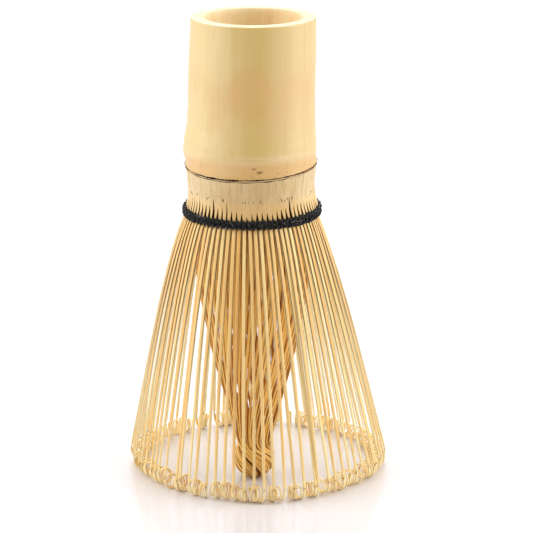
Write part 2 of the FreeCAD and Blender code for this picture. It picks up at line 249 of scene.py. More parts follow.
class Shader:
    """Small helper around one material's node tree."""

    def __init__(self, name):
        self.material = bpy.data.materials.new(name)
        self.material.use_nodes = True
        self.nodes = self.material.node_tree.nodes
        self.links = self.material.node_tree.links
        self.bsdf = self.nodes["Principled BSDF"]

    def node(self, kind, feeds=None, **settings):
        """A new node with its settings, and what goes into its sockets."""
        made = self.nodes.new(kind)
        for key, value in settings.items():
            setattr(made, key, value)
        for key, source in (feeds or {}).items():
            self.feed(made.inputs[key], source)
        return made

    def feed(self, target, source):
        """Sets a socket to a number or colour, or links another node's output to it."""
        if isinstance(source, (int, float, tuple)):
            target.default_value = source
        else:
            self.links.new(source, target)

    def mapped(self, vector, scale, offset=(0.0, 0.0, 0.0)):
        feeds = {"Vector": vector, "Scale": scale, "Location": offset}
        return self.node("ShaderNodeMapping", feeds).outputs["Vector"]

    def position(self):
        return self.node("ShaderNodeTexCoord").outputs["Object"]

    def grain(self):
        """Place across, through and along a strip, in mm."""
        return self.node("ShaderNodeAttribute", attribute_name="grain").outputs["Vector"]

    def noise(self, scale, detail=3.0, roughness=0.55, place=None):
        vector = self.mapped(self.position() if place is None else place, scale)
        feeds = {"Vector": vector, "Scale": 1.0, "Detail": detail, "Roughness": roughness}
        return self.node("ShaderNodeTexNoise", feeds).outputs["Fac"]

    def specks(self, scale, size):
        """1 inside small scattered spots, 0 elsewhere."""
        vector = self.mapped(self.position(), scale)
        cells = self.node("ShaderNodeTexVoronoi", {"Vector": vector, "Scale": 1.0})
        return self.range(cells.outputs["Distance"], size, size * 0.4, 0.0, 1.0)

    def range(self, value, low, high, out_low=0.0, out_high=1.0):
        feeds = {"Value": value, "From Min": low, "From Max": high, "To Min": out_low, "To Max": out_high}
        return self.node("ShaderNodeMapRange", feeds, interpolation_type="SMOOTHSTEP").outputs["Result"]

    def math(self, operation, a, b=0.0):
        return self.node("ShaderNodeMath", {0: a, 1: b}, operation=operation).outputs[0]

    def times(self, a, b):
        return self.math("MULTIPLY", a, b)

    def band(self, value, rise, fall):
        """1 between two soft edges, 0 outside them."""
        return self.times(self.range(value, *rise), self.range(value, *fall))

    def mix(self, share, a, b):
        feeds = {MIX_SHARE: share, MIX_A: a, MIX_B: b}
        return self.node("ShaderNodeMix", feeds, data_type="RGBA").outputs[MIX_RESULT]

    def place(self):
        split = self.node("ShaderNodeSeparateXYZ", {"Vector": self.position()})
        return split.outputs["X"], split.outputs["Y"], split.outputs["Z"]

    def height(self):
        return self.place()[2]

    def blot(self, middle, scale, raggedness):
        """1 in one small ragged spot around a place, 0 elsewhere."""
        offset = tuple(-m * f for m, f in zip(middle, scale))
        place = self.mapped(self.position(), scale, offset)
        length = self.node("ShaderNodeVectorMath", {0: place}, operation="LENGTH")
        ragged = self.noise((3000, 3000, 6000))
        ragged = self.times(self.math("SUBTRACT", ragged, 0.5), raggedness * 3)
        return self.range(self.math("ADD", length.outputs["Value"], ragged), 1.0, 0.6)

    def attribute(self, name):
        return self.node("ShaderNodeAttribute", attribute_name=name).outputs["Fac"]

    def bump(self, value, distance, strength=1.0, after=None):
        feeds = {"Strength": strength, "Distance": distance, "Height": value}
        if after is not None:
            feeds["Normal"] = after
        return self.node("ShaderNodeBump", feeds).outputs["Normal"]

    def finish(self, colour, roughness, normal, specular=0.5, sheen=0.0):
        self.feed(self.bsdf.inputs["Base Color"], colour)
        self.feed(self.bsdf.inputs["Roughness"], roughness)
        self.links.new(normal, self.bsdf.inputs["Normal"])
        self.bsdf.inputs["Specular IOR Level"].default_value = specular
        self.bsdf.inputs["Sheen Weight"].default_value = sheen
        return self.material


def rgb(red, green, blue):
    """Linear colour from 0-255 screen values."""

    def linear(value):
        value /= 255
        return value / 12.92 if value <= 0.04045 else ((value + 0.055) / 1.055) ** 2.4

    return (linear(red), linear(green), linear(blue), 1.0)


# -------- materials


# zones of the skin: (rising edge, falling edge), each from and to, in metres
# painted shade: the darker band down the handle's front, across x
FRONT_SHADE_SIDES = ((-0.0088, -0.0024), (0.0058, 0.0010))
BLUSH_HEIGHTS = ((0.078, 0.086), (0.098, 0.091))
# painted highlight: the pale band along the node's ridge
RIDGE_HIGHLIGHT_HEIGHTS = ((0.0744, 0.0754), (0.0776, 0.0762))
VESSEL_HEIGHTS = ((0.0658, 0.0662), (0.0670, 0.0666))
# single edges, from and to, in metres
# painted shade: how the darker front band fades in towards the front (-Y)
FRONT_SHADE_FADE = (0.0, -0.004)
NODE_TINT = (0.0764, 0.0738)
NODE_MARKS = (SCAR_Z + 0.0022, SCAR_Z + 0.0006)
# warmer tint with a painted highlight on the collar fingers' ends near the thread
FINGER_TIP_TINT_AND_HIGHLIGHT = (THREAD_Z + 0.0056, THREAD_Z + 0.0018)
# warmer tint on the curls, partly their own tone and partly painted shade
CURL_TINT_AND_SHADE = (0.0105, 0.0045)
# painted shade along the strips' edges: heights between which its strength changes
EDGE_SHADE_HEIGHTS = (0.014, 0.05)
# single spots: (middle in metres, scale, raggedness)
BROWN_PATCH = ((-0.0016, -0.0138, 0.0905), (165, 110, 125), 0.12)
BUD = ((0.0004, -0.0151, 0.0733), (1300, 500, 2300), 0.9)
BUD_HUSK = ((-0.0008, -0.0151, 0.0741), (1500, 500, 3200), 0.7)


def culm_skin_material():
    """Smooth outer skin: fine fibre along the culm, painted shade in a darker band down the front, a
    brown patch, and at the node a painted highlight along the ridge, a warmer zone, specks and the mark
    of the bud."""
    s = Shader("bamboo_skin")
    x, y, z = s.place()
    fibre = s.noise((2600, 2600, 18), 4.0, 0.6)
    bands = s.noise((210, 210, 5), 2.0)
    cloud = s.noise((85, 85, 60), 3.0)
    base = s.mix(s.range(bands, 0.36, 0.66), rgb(232, 207, 149), rgb(225, 196, 134))
    base = s.mix(s.range(fibre, 0.45, 0.75, 0.0, 0.4), base, rgb(214, 182, 116))
    # painted shade: the handle's front is a darker, greener band, standing for the dark front reflected
    # in it
    wander = s.times(s.math("SUBTRACT", bands, 0.5), 0.003)
    across = s.math("ADD", x, wander)
    front_shade = s.times(s.band(across, *FRONT_SHADE_SIDES), s.range(y, *FRONT_SHADE_FADE, 0.0, 0.6))
    base = s.mix(front_shade, base, rgb(212, 180, 100))
    blush = s.times(s.band(z, *BLUSH_HEIGHTS), s.range(cloud, 0.42, 0.66, 0.0, 0.45))
    base = s.mix(blush, base, rgb(226, 180, 122))
    base = s.mix(s.times(s.blot(*BROWN_PATCH), 0.4), base, rgb(222, 172, 106))
    # painted highlight: a pale band along the ridge of the node, where light catches it
    ripple = s.noise((70, 70, 1900), 3.0)
    ridge = s.times(s.band(z, *RIDGE_HIGHLIGHT_HEIGHTS), s.range(ripple, 0.4, 0.6, 0.2, 0.7))
    ridge = s.times(ridge, s.range(cloud, 0.35, 0.6, 0.3, 1.0))
    base = s.mix(ridge, base, rgb(238, 208, 166))
    node_zone = s.range(z, *NODE_TINT, 0.0, 0.6)
    node_zone = s.times(node_zone, s.range(cloud, 0.2, 0.6, 0.55, 1.0))
    base = s.mix(node_zone, base, rgb(222, 170, 104))
    marks = s.specks((600, 600, 1300), 0.17)
    marks = s.times(marks, s.range(z, *NODE_MARKS))
    base = s.mix(s.times(marks, 0.6), base, rgb(120, 74, 40))
    bud = s.math("MAXIMUM", s.blot(*BUD), s.times(s.blot(*BUD_HUSK), 0.6))
    base = s.mix(s.times(bud, 0.8), base, rgb(104, 60, 34))
    flecks = s.specks((420, 420, 90), 0.12)
    base = s.mix(s.times(flecks, 0.3), base, rgb(190, 146, 90))
    roughness = s.range(fibre, 0.3, 0.8, 0.3, 0.44)
    normal = s.bump(fibre, 0.00003, 0.5)
    normal = s.bump(bands, 0.0002, 0.3, normal)
    return s.finish(base, roughness, normal, 0.5)


def rim_material():
    """Sawn end of the culm: cut fibre bundles as dots in a pale ground, denser to the outside."""
    s = Shader("bamboo_end_grain")
    dots = s.specks((2300, 2300, 10), 0.36)
    cloud = s.noise((300, 300, 300))
    base = s.mix(s.range(cloud, 0.3, 0.7), rgb(197, 187, 146), rgb(190, 178, 133))
    base = s.mix(s.times(dots, 0.25), base, rgb(182, 160, 112))
    normal = s.bump(s.noise((2600, 900, 2600)), 0.0001, 0.4)
    return s.finish(base, 0.6, normal, 0.4)


def bore_material():
    """Inner wall of the culm: orange-tan, papery, with faint lengthways fibre."""
    s = Shader("bamboo_inside")
    fibre = s.noise((900, 900, 24), 4.0, 0.65)
    cloud = s.noise((140, 140, 70))
    base = s.mix(s.range(cloud, 0.3, 0.7), rgb(248, 230, 187), rgb(243, 217, 168))
    base = s.mix(s.range(fibre, 0.45, 0.75, 0.0, 0.5), base, rgb(232, 188, 130))
    normal = s.bump(fibre, 0.00012, 0.6)
    return s.finish(base, 0.66, normal, 0.3)


def peeled_material():
    """Shaved culm below the node: matte, with fibre and tiny dark cut vessels; painted side light makes
    it paler at the left and right, and near the thread it turns warmer, partly its own tone and partly a
    painted highlight on the fingers' ends.
    """
    s = Shader("bamboo_peeled")
    fibre = s.noise((1500, 1500, 70), 4.0, 0.7)
    cloud = s.noise((160, 160, 110))
    x, _, height = s.place()
    # painted light: paler at the left and right of the collar, where the side lights fall
    side = s.range(s.math("ABSOLUTE", x), 0.005, 0.012)
    base = s.mix(s.range(cloud, 0.3, 0.72), rgb(223, 195, 145), rgb(209, 177, 124))
    base = s.mix(s.times(side, 0.6), base, rgb(229, 209, 166))
    base = s.mix(s.range(fibre, 0.42, 0.72, 0.0, 0.6), base, rgb(188, 152, 98))
    vessels = s.specks((1200, 1200, 600), 0.36)
    patches = s.noise((230, 230, 500))
    shelf = s.math("MAXIMUM", s.band(height, *VESSEL_HEIGHTS), 0.12)
    vessels = s.times(vessels, s.times(shelf, s.range(patches, 0.38, 0.48)))
    base = s.mix(vessels, base, rgb(70, 44, 26))
    # warmer towards the thread, partly the shaved wood's tone and partly a painted highlight on the
    # fingers' ends, paler at the sides as painted side light
    tip_tint_and_highlight = s.range(height, *FINGER_TIP_TINT_AND_HIGHLIGHT, 0.0, 0.75)
    base = s.mix(tip_tint_and_highlight, base, s.mix(side, rgb(231, 187, 118), rgb(248, 210, 142)))
    normal = s.bump(fibre, 0.0001, 0.6)
    return s.finish(base, s.range(fibre, 0.3, 0.8, 0.5, 0.7), normal, 0.35)


def slit_shade_material():
    """Painted shade: dark brown on the sides of the slits and on the lining of the hollow behind them,
    which lie in shade.
    """
    s = Shader("bamboo_cut_painted_shade")
    fibre = s.noise((1500, 1500, 80), 3.0)
    base = s.mix(s.range(fibre, 0.3, 0.7), rgb(120, 78, 40), rgb(74, 48, 26))
    return s.finish(base, 0.8, s.bump(fibre, 0.00008, 0.6), 0.15)


def strip_material(name, skin, deep, flesh, streak, gap_shade, low, gap_shade_low, gap_shade_high):
    """Split bamboo strips with a tone each: skin on the outer face, flesh on the cuts, painted shade
    along the outer face's edges where the gaps between strips lie in shade, and down where they curl a
    warmer tint, partly their own tone and partly painted shade."""
    s = Shader(name)
    tone = s.attribute("tone")
    fibre = s.noise((7.0, 1.2, 0.35), 4.0, 0.65, place=s.grain())
    slow = s.noise((1.0, 0.4, 0.09), 2.0, place=s.grain())
    base = s.mix(tone, skin, deep)
    base = s.mix(s.range(slow, 0.35, 0.7, 0.0, 0.4), base, deep)
    base = s.mix(s.range(s.attribute("flesh"), 0.25, 0.9), base, flesh)
    # down at the curls: partly their own warmer tone, partly painted shade against the light bounced up
    # from the floor
    base = s.mix(s.range(s.height(), *CURL_TINT_AND_SHADE, 0.0, 0.7), base, low)
    base = s.mix(s.range(fibre, 0.48, 0.8, 0.0, 0.5), base, streak)
    # painted shade along the edges of each strip's outer face, where the gaps between strips fall in
    # shade; its strength changes with height
    line = s.range(s.attribute("edge"), 0.15, 0.7)
    line = s.times(line, s.range(s.height(), *EDGE_SHADE_HEIGHTS, gap_shade_low, gap_shade_high))
    base = s.mix(line, base, gap_shade)
    normal = s.bump(fibre, 0.00004, 0.6)
    return s.finish(base, s.range(fibre, 0.3, 0.8, 0.34, 0.52), normal, 0.5)


def scar_material():
    """Dry dark sheath scar, worn through to paler wood in places."""
    s = Shader("node_scar")
    worn = s.noise((420, 420, 900), 4.0, 0.7)
    base = s.mix(s.range(worn, 0.5, 0.62), rgb(40, 20, 12), rgb(150, 106, 68))
    return s.finish(base, 0.95, s.bump(worn, 0.0001, 0.8), 0.05)


def thread_material():
    """Black twisted cotton with a cool cast and dusty high spots."""
    s = Shader("thread_black")
    fibre = s.noise((3.0, 3.0, 9.0), 4.0, 0.7, place=s.grain())
    dust = s.noise((700, 700, 700), 2.0)
    base = s.mix(s.range(fibre, 0.4, 0.75), rgb(10, 10, 11), rgb(30, 31, 33))
    base = s.mix(s.range(dust, 0.62, 0.78, 0.0, 0.4), base, rgb(64, 68, 70))
    return s.finish(base, 0.52, s.bump(fibre, 0.00008, 1.0), 0.3, 0.08)


def fuzz_material():
    """Loose hairs: dark cotton, or pale ones that stand partly for bamboo fibres and partly for painted
    glints, by their tone.
    """
    s = Shader("thread_fuzz")
    fibre = s.noise((2.0, 2.0, 4.0), place=s.grain())
    base = s.mix(s.attribute("tone"), rgb(26, 27, 30), rgb(150, 148, 146))
    return s.finish(base, 0.5, s.bump(fibre, 0.00002, 0.4), 0.5)


def floor_material():
    s = Shader("floor_paper")
    paper = s.noise((60, 60, 60), 4.0)
    base = s.mix(paper, rgb(226, 223, 227), rgb(229, 226, 230))
    return s.finish(base, 0.08, s.bump(paper, 0.0002, 0.02), 0.7)


SKIN = culm_skin_material()
END_GRAIN = rim_material()
INSIDE = bore_material()
PEELED = peeled_material()
SLIT_SHADE = slit_shade_material()
# the colour after the streak is painted shade for the gaps between strips, and the last two numbers are
# its strength low down and high up
OUTER_STRIP = strip_material(
    "bamboo_tine", rgb(255, 228, 158), rgb(242, 186, 104), rgb(255, 247, 206), rgb(222, 162, 84),
    rgb(88, 62, 22), rgb(255, 225, 156), 0.2, 1.0
)
INNER_STRIP = strip_material(
    "bamboo_core", rgb(255, 212, 114), rgb(248, 188, 88), rgb(252, 190, 94), rgb(222, 154, 66),
    rgb(136, 78, 28), rgb(255, 205, 110), 0.85, 0.3
)
SCAR = scar_material()
THREAD = thread_material()
FUZZ = fuzz_material()


# -------- handle

HANDLE_SIDES = 240
RIM_SHARE = 0.9726  # radius at the rim over the handle's greatest
RIM_RADIUS = (handle_high.x - handle_low.x) / 2 * RIM_SHARE
RIM_ROUND = 0.4 * MM  # rounding of the rim's outer edge
RIM_BREAK = 0.12 * MM  # small flat on the rim's inner edge
SKIN_ROWS, ROUND_ROWS, RIM_ROWS, BORE_ROWS = 90, 5, 6, 30
ON_SKIN, ON_RIM, ON_BORE = 0, 1, 2  # material indices of the handle
ON_PEEL, ON_SLIT_SHADE = 0, 1  # material indices of the collar
# how far the culm's middle wanders sideways: (mm above the scar, mm to the right)
CULM_LEAN = (
    (-10.5, 0.0), (-4, -0.22), (0, -0.25), (0.8, -0.28), (2.6, -0.55), (5.5, -0.45),
    (9.5, -0.2), (14.5, -0.1), (33.5, 0.33),
)
# outside of the handle: (mm above the scar, radius over the rim's radius)
HANDLE_SHAPE = (
    (0, 1.058), (0.5, 1.05), (1.0, 1.048), (1.7, 1.057), (2.7, 1.072), (3.4, 1.072), (5.0, 1.062),
    (7.5, 1.042), (9.5, 1.028), (14.5, 1.018), (23.5, 1.016), (33.5, 1.0),
)
SCAR_DIP = 0.95 * MM
SCAR_RISE = 0.4 * MM
THREAD_DIP = 0.25 * MM
THREAD_RISE = 0.1 * MM
THREAD_DROP = 0.32 * MM
LEVEL_OUT = 4.2 * MM  # the tilt of the scar fades out over this height


def stem_centre(z):
    """The culm isn't quite straight: its middle wanders a little with height."""
    lean = profile_value(CULM_LEAN, (z - SCAR_Z) / MM) * MM
    return Vector((STEM.x + lean, STEM.y, z))


def tilt(angle, z):
    """The scar and the lacing aren't quite level: both dip at the front."""
    scar = SCAR_DIP * math.sin(angle) + SCAR_RISE * math.cos(angle)
    thread = THREAD_DIP * math.sin(angle) + THREAD_RISE * math.cos(angle) - THREAD_DROP
    if z > SCAR_Z:
        return scar * (1 - smooth_step(SCAR_Z, SCAR_Z + LEVEL_OUT, z))
    return lerp(thread, scar, smooth_step(THREAD_Z, SCAR_Z, z))


def culm_roundness(angle, z):
    """Radius factor of a natural culm, a little out of round."""
    oval = 0.0035 * math.cos(2 * angle + 0.7) + 0.002 * math.cos(3 * angle - 1.0)
    return 1 + oval + 0.002 * wave_noise(math.cos(angle) * 1.5, math.sin(angle) * 1.5, z * 60)


def handle_outline():
    """(radius, height, material index) from the swelling's foot, over the rim, down the bore."""
    foot = swelling_low.z
    rows = [(BORE, foot, ON_SKIN), (RIM_RADIUS * 1.02, foot + 0.05 * MM, ON_SKIN)]
    for k in range(SKIN_ROWS + 1):
        z = lerp(SCAR_Z, TOP - RIM_ROUND, (k / SKIN_ROWS) ** 1.2)
        rows.append((profile_value(HANDLE_SHAPE, (z - SCAR_Z) / MM) * RIM_RADIUS, z, ON_SKIN))
    for k in range(1, ROUND_ROWS + 1):
        turn = k / ROUND_ROWS * math.pi / 2
        radius = RIM_RADIUS - RIM_ROUND * (1 - math.cos(turn))
        rows.append((radius, TOP - RIM_ROUND * (1 - math.sin(turn)), ON_SKIN))
    for k in range(1, RIM_ROWS + 1):
        rows.append((lerp(RIM_RADIUS - RIM_ROUND, BORE + RIM_BREAK, k / RIM_ROWS), TOP, ON_RIM))
    for k in range(BORE_ROWS + 1):
        rows.append((BORE, lerp(TOP - RIM_BREAK, diaphragm_low.z, k / BORE_ROWS), ON_BORE))
    rows.append((BORE, foot, ON_BORE))
    return rows


def handle():
    """The hollow culm above the scar: skin, sawn rim and bore in one closed surface."""
    rows = handle_outline()
    vertices, faces, face_material = [], [], []
    for radius, z, _ in rows:
        for angle in turn_angles(HANDLE_SIDES):
            c, s = math.cos(angle), math.sin(angle)
            roundness = culm_roundness(angle, z)
            if radius <= BORE + 0.2 * MM:
                roundness = 1 + 0.004 * wave_noise(c * 2, s * 2, z * 90)
            level = 0.0
            if z >= TOP - 0.001 * MM:  # the sawn face is slightly uneven
                level = min(0.05 * MM * wave_noise(c * 3, s * 3, radius * 900), 0.0)
            spot = stem_centre(z)
            spot += direction(angle) * radius * roundness
            vertices.append(spot + Vector((0, 0, level + tilt(angle, z))))
    for number, (_, _, material) in enumerate(rows[1:]):
        low = number * HANDLE_SIDES
        faces += ring_faces(low, low + HANDLE_SIDES, HANDLE_SIDES)
        face_material += [material] * HANDLE_SIDES
    piece = make_piece("handle_culm", vertices, faces, [SKIN, END_GRAIN, INSIDE], face_material)
    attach(piece, "handle")
    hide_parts("handle_tube", "node_swelling")


WALL_DISH = 0.9 * MM
WALL_WRINKLE = 0.12 * MM


def diaphragm():
    """The papery wall inside the node, dished and slightly wrinkled."""
    rings, sides = 24, 96
    vertices, faces = [], []
    for side, level in ((1, diaphragm_high.z), (-1, diaphragm_low.z)):
        for ring in range(rings + 1):
            share = ring / rings
            for angle in turn_angles(sides):
                radius = share * BORE * 1.002
                x, y = math.cos(angle) * radius, math.sin(angle) * radius
                dish = -WALL_DISH * (1 - share**2)
                wrinkle = WALL_WRINKLE * wave_noise(x * 350, y * 350, 3.0 * side)
                vertices.append(stem_centre(level) + Vector((x, y, dish + wrinkle)))
    block = (rings + 1) * sides
    for half in (0, 1):
        for ring in range(rings):
            first = half * block + ring * sides
            quads = ring_faces(first, first + sides, sides)
            faces += quads if half == 1 else [tuple(reversed(quad)) for quad in quads]
    faces += ring_faces(block + rings * sides, rings * sides, sides)
    piece = make_piece("node_wall", vertices, faces, [INSIDE])
    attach(piece, "handle")
    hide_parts("node_diaphragm")


SCAR_STEPS = 480
# lines of the scar: (drop, half height, how far it stands out, all in mm; noise place; tone)
SCAR_LINES = ((0.0, 0.19, 0.12, 2.0, 0.0), (0.5, 0.09, 0.05, 9.0, 0.8))


def scar_lines():
    """Jagged remains of the sheath: one dark ridge, and a fainter broken one under it."""
    rng = random.Random(5)
    strips = Strips()
    for drop, height, proud, seed, tone in SCAR_LINES:
        path = []
        for angle in turn_angles(SCAR_STEPS):
            c, s = math.cos(angle), math.sin(angle)
            ragged = wave_noise(c * 14, s * 14, seed) + 0.5 * wave_noise(c * 40, s * 40, seed)
            z = SCAR_Z - 0.1 * MM - drop * (0.7 - 0.3 * s) * MM + 0.08 * MM * ragged
            radius = RIM_RADIUS * 1.056 if drop == 0.0 else collar_radius(z) + proud * 0.3 * MM
            outward = direction(angle)
            present = 0.6 + 0.9 * wave_noise(c * 6, s * 6, seed + 4) + rng.uniform(-0.2, 0.2)
            present = max(0.2, min(1.3, present))
            centre = stem_centre(z) + outward * radius * culm_roundness(angle, z)
            centre.z += tilt(angle, z)
            half_depth = proud * present * 1.6 * MM
            path.append((centre, outward, Vector((0, 0, 1)), height * present * MM, half_depth))
        strips.sweep(path, rounded_section(0.4), tone, closed=True)
    piece = strips.piece("sheath_scar_lines", SCAR)
    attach(piece, "handle")
    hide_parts("sheath_scar")


# -------- collar

COLLAR_FOOT = lower_low.z + 0.3 * MM
FINGER_COLUMNS = 10
COLLAR_ROWS = 34
FINGER_DEPTH = 0.9 * MM
# outside of the collar: (share of the way from thread to scar, radius over the thread's radius)
COLLAR_SHAPE = (
    (0.0, 0.962), (0.12, 0.955), (0.34, 0.924), (0.55, 0.916), (0.8, 0.931), (1.0, 0.945),
)
FINGER_ROUND = 0.07 * MM  # the fingers' edges are drawn in by this much
# slits, in mm: how far they run up from the thread, and how much more at the sides and the left
SLIT_REACH, SLIT_REACH_SIDES, SLIT_REACH_LEFT = (0.8, 1.8), 1.7, 0.7
LONG_SLITS, LONG_REACH = 0.12, (0.8, 2.2)  # share of slits that run higher, and how far
SLIT_WIDTHS, SLIT_WIDTH_SIDES = (0.13, 0.3), 0.09  # half widths in mm


def collar_radius(z):
    share = (z - COLLAR_FOOT) / (SCAR_Z - COLLAR_FOOT)
    return profile_value(COLLAR_SHAPE, share) * THREAD_OUT


def slit_tops():
    """Height of each slit's point; they are uneven and a few run much higher."""
    rng = random.Random(23)
    tops = []
    for number in range(TINE_COUNT):
        turn = math.cos(number * PITCH)
        reach = rng.uniform(*SLIT_REACH) + SLIT_REACH_SIDES * abs(turn)
        reach += SLIT_REACH_LEFT * max(0.0, -turn)
        if rng.random() < LONG_SLITS:
            reach += rng.uniform(*LONG_REACH)
        tops.append(upper_high.z + reach * MM)
    return tops


def slit_half_angle(top, z, width):
    """Half of a slit's opening at a height, as an angle."""
    if z >= top:
        return 0.0
    share = min(1.0, (top - z) / (top - upper_high.z))
    return width * share**0.8 / (THREAD_OUT * 0.93)


def collar():
    """The shaved culm, cut into 80 pointed fingers whose feet the thread covers."""
    tops = slit_tops()
    rng = random.Random(31)
    sides_on = [abs(math.cos(number * PITCH)) for number in range(TINE_COUNT)]
    widths = [(rng.uniform(*SLIT_WIDTHS) + SLIT_WIDTH_SIDES * on) * MM for on in sides_on]
    shares = [(k / COLLAR_ROWS) ** 1.25 for k in range(COLLAR_ROWS + 1)]
    levels = [lerp(COLLAR_FOOT, SCAR_Z - 0.05 * MM, share) for share in shares]
    vertices, faces, face_material = [], [], []
    shared = {}

    def vertex(key, spot):
        if key not in shared:
            shared[key] = len(vertices)
            vertices.append(spot)
        return shared[key]

    def spot_at(angle, z, inset):
        radius = collar_radius(z) * culm_roundness(angle, z) - inset
        place = stem_centre(z) + direction(angle) * radius
        place.z += tilt(angle, z)
        return place

    def finger_angle(finger, column, z):
        left, right = finger, (finger + 1) % TINE_COUNT
        start = finger * PITCH + slit_half_angle(tops[left], z, widths[left])
        end = (finger + 1) * PITCH - slit_half_angle(tops[right], z, widths[right])
        return lerp(start, end, column / FINGER_COLUMNS)

    def outer(finger, column, row):
        z = levels[row]
        slit = finger if column == 0 else (finger + 1) % TINE_COUNT
        on_edge = column in (0, FINGER_COLUMNS)
        open_here = on_edge and z < tops[slit]
        key = ("seam", slit, row) if on_edge and not open_here else (finger, column, row)
        rounding = FINGER_ROUND if open_here else 0.0
        return vertex(key, spot_at(finger_angle(finger, column, z), z, rounding))

    for finger in range(TINE_COUNT):
        for row in range(COLLAR_ROWS):
            for column in range(FINGER_COLUMNS):
                corners = ((0, 0), (1, 0), (1, 1), (0, 1))
                faces.append(tuple(outer(finger, column + right, row + up) for right, up in corners))
                face_material.append(ON_PEEL)
            # the slits' walls are in painted shade
            for column, slit in ((0, finger), (FINGER_COLUMNS, (finger + 1) % TINE_COUNT)):
                if levels[row] >= tops[slit]:
                    continue
                corners = (
                    (row, FINGER_ROUND), (row + 1, FINGER_ROUND),
                    (row + 1, FINGER_DEPTH), (row, FINGER_DEPTH),
                )
                wall = []
                for step, inset in corners:
                    angle = finger_angle(finger, column, levels[step])
                    key = ("wall", finger, column, step, inset)
                    wall.append(vertex(key, spot_at(angle, levels[step], inset)))
                faces.append(tuple(wall) if column else tuple(reversed(wall)))
                face_material.append(ON_SLIT_SHADE)
    # painted shade: the lining is coloured dark because the hollow behind the slits is in shade
    sides = HANDLE_SIDES  # a shaded lining closes the hollow behind the slits
    rings = ((SEAT + 0.7 * MM, COLLAR_FOOT + 0.4 * MM), (SEAT + 0.6 * MM, SCAR_Z))
    first = len(vertices)
    for radius, z in rings:
        for angle in turn_angles(sides):
            vertices.append(stem_centre(z) + direction(angle) * radius)
    for k in range(sides):
        n = (k + 1) % sides
        faces.append((first + n, first + k, first + sides + k, first + sides + n))
        face_material.append(ON_SLIT_SHADE)
    piece = make_piece("collar_fingers", vertices, faces, [PEELED, SLIT_SHADE], face_material)
    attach(piece, "handle")
    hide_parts("collar")


# -------- outer tines

SHAFT_STEPS = 44
CURL_STEPS = 58
FLARE_POWER = 0.8
FLARE_LEAN = 0.08  # fuller on the left, straighter on the right
RELEASE_Z = lower_low.z + 0.1 * MM
TINE_ROOT_Z = upper_low.z
TINE_ROOT_RADIUS = THREAD_OUT * 0.915
TINE_FOOT_Z = 3.7 * MM
RING_MIDDLE = RING + 0.12 * MM
RING_SHIFT = Vector((0.2 * MM, 0, 0))
RING_DENT = 0.8 * MM  # the ring is drawn in at its front left and front right
BACK_TURN = 0.55  # the back tines swing round by up to this many pitches
CROWDED = {50: 0.26, 51: -0.3, 65: 0.36, 66: -0.36}  # pairs of feet that lean together, in pitches
# how far single tines stray: feet in degrees and mm, bow and sway of the shaft and lift in mm
FOOT_WAVE, FOOT_STRAY, RING_STRAY = 1.3, 0.4, 0.2
BOW_STRAY, SWAY_STRAY, LIFT_STRAY = 0.2, 0.22, 0.25
TWIST_MIDDLE, TWIST_STRAY, TWIST_LIMITS = 8, 12, (-14, 40)  # degrees
# half widths and half thicknesses in mm
ROOT_WIDTHS, FOOT_WIDTHS, CURL_WIDTHS = (0.42, 0.47), (0.29, 0.34), (0.19, 0.23)
ROOT_THICK, FOOT_THICK, END_THICK = 0.34, 0.17, 0.12
# curls: turns, radius and sideways advance per turn in mm
CURL_TURNS, CURL_RADII, CURL_PITCHES = (1.6, 2.3), (1.6, 1.9), (0.6, 0.84)
LEAD_IN, LEAD_IN_BEND = 0.38, 2.6  # a wider bend comes first: its angle in radians, its radius
CURL_TIGHTENS = 0.8  # radius at the end of a curl over the radius at its start
CURL_REST = 0.17 * MM  # height of the lowest middle line of a curl


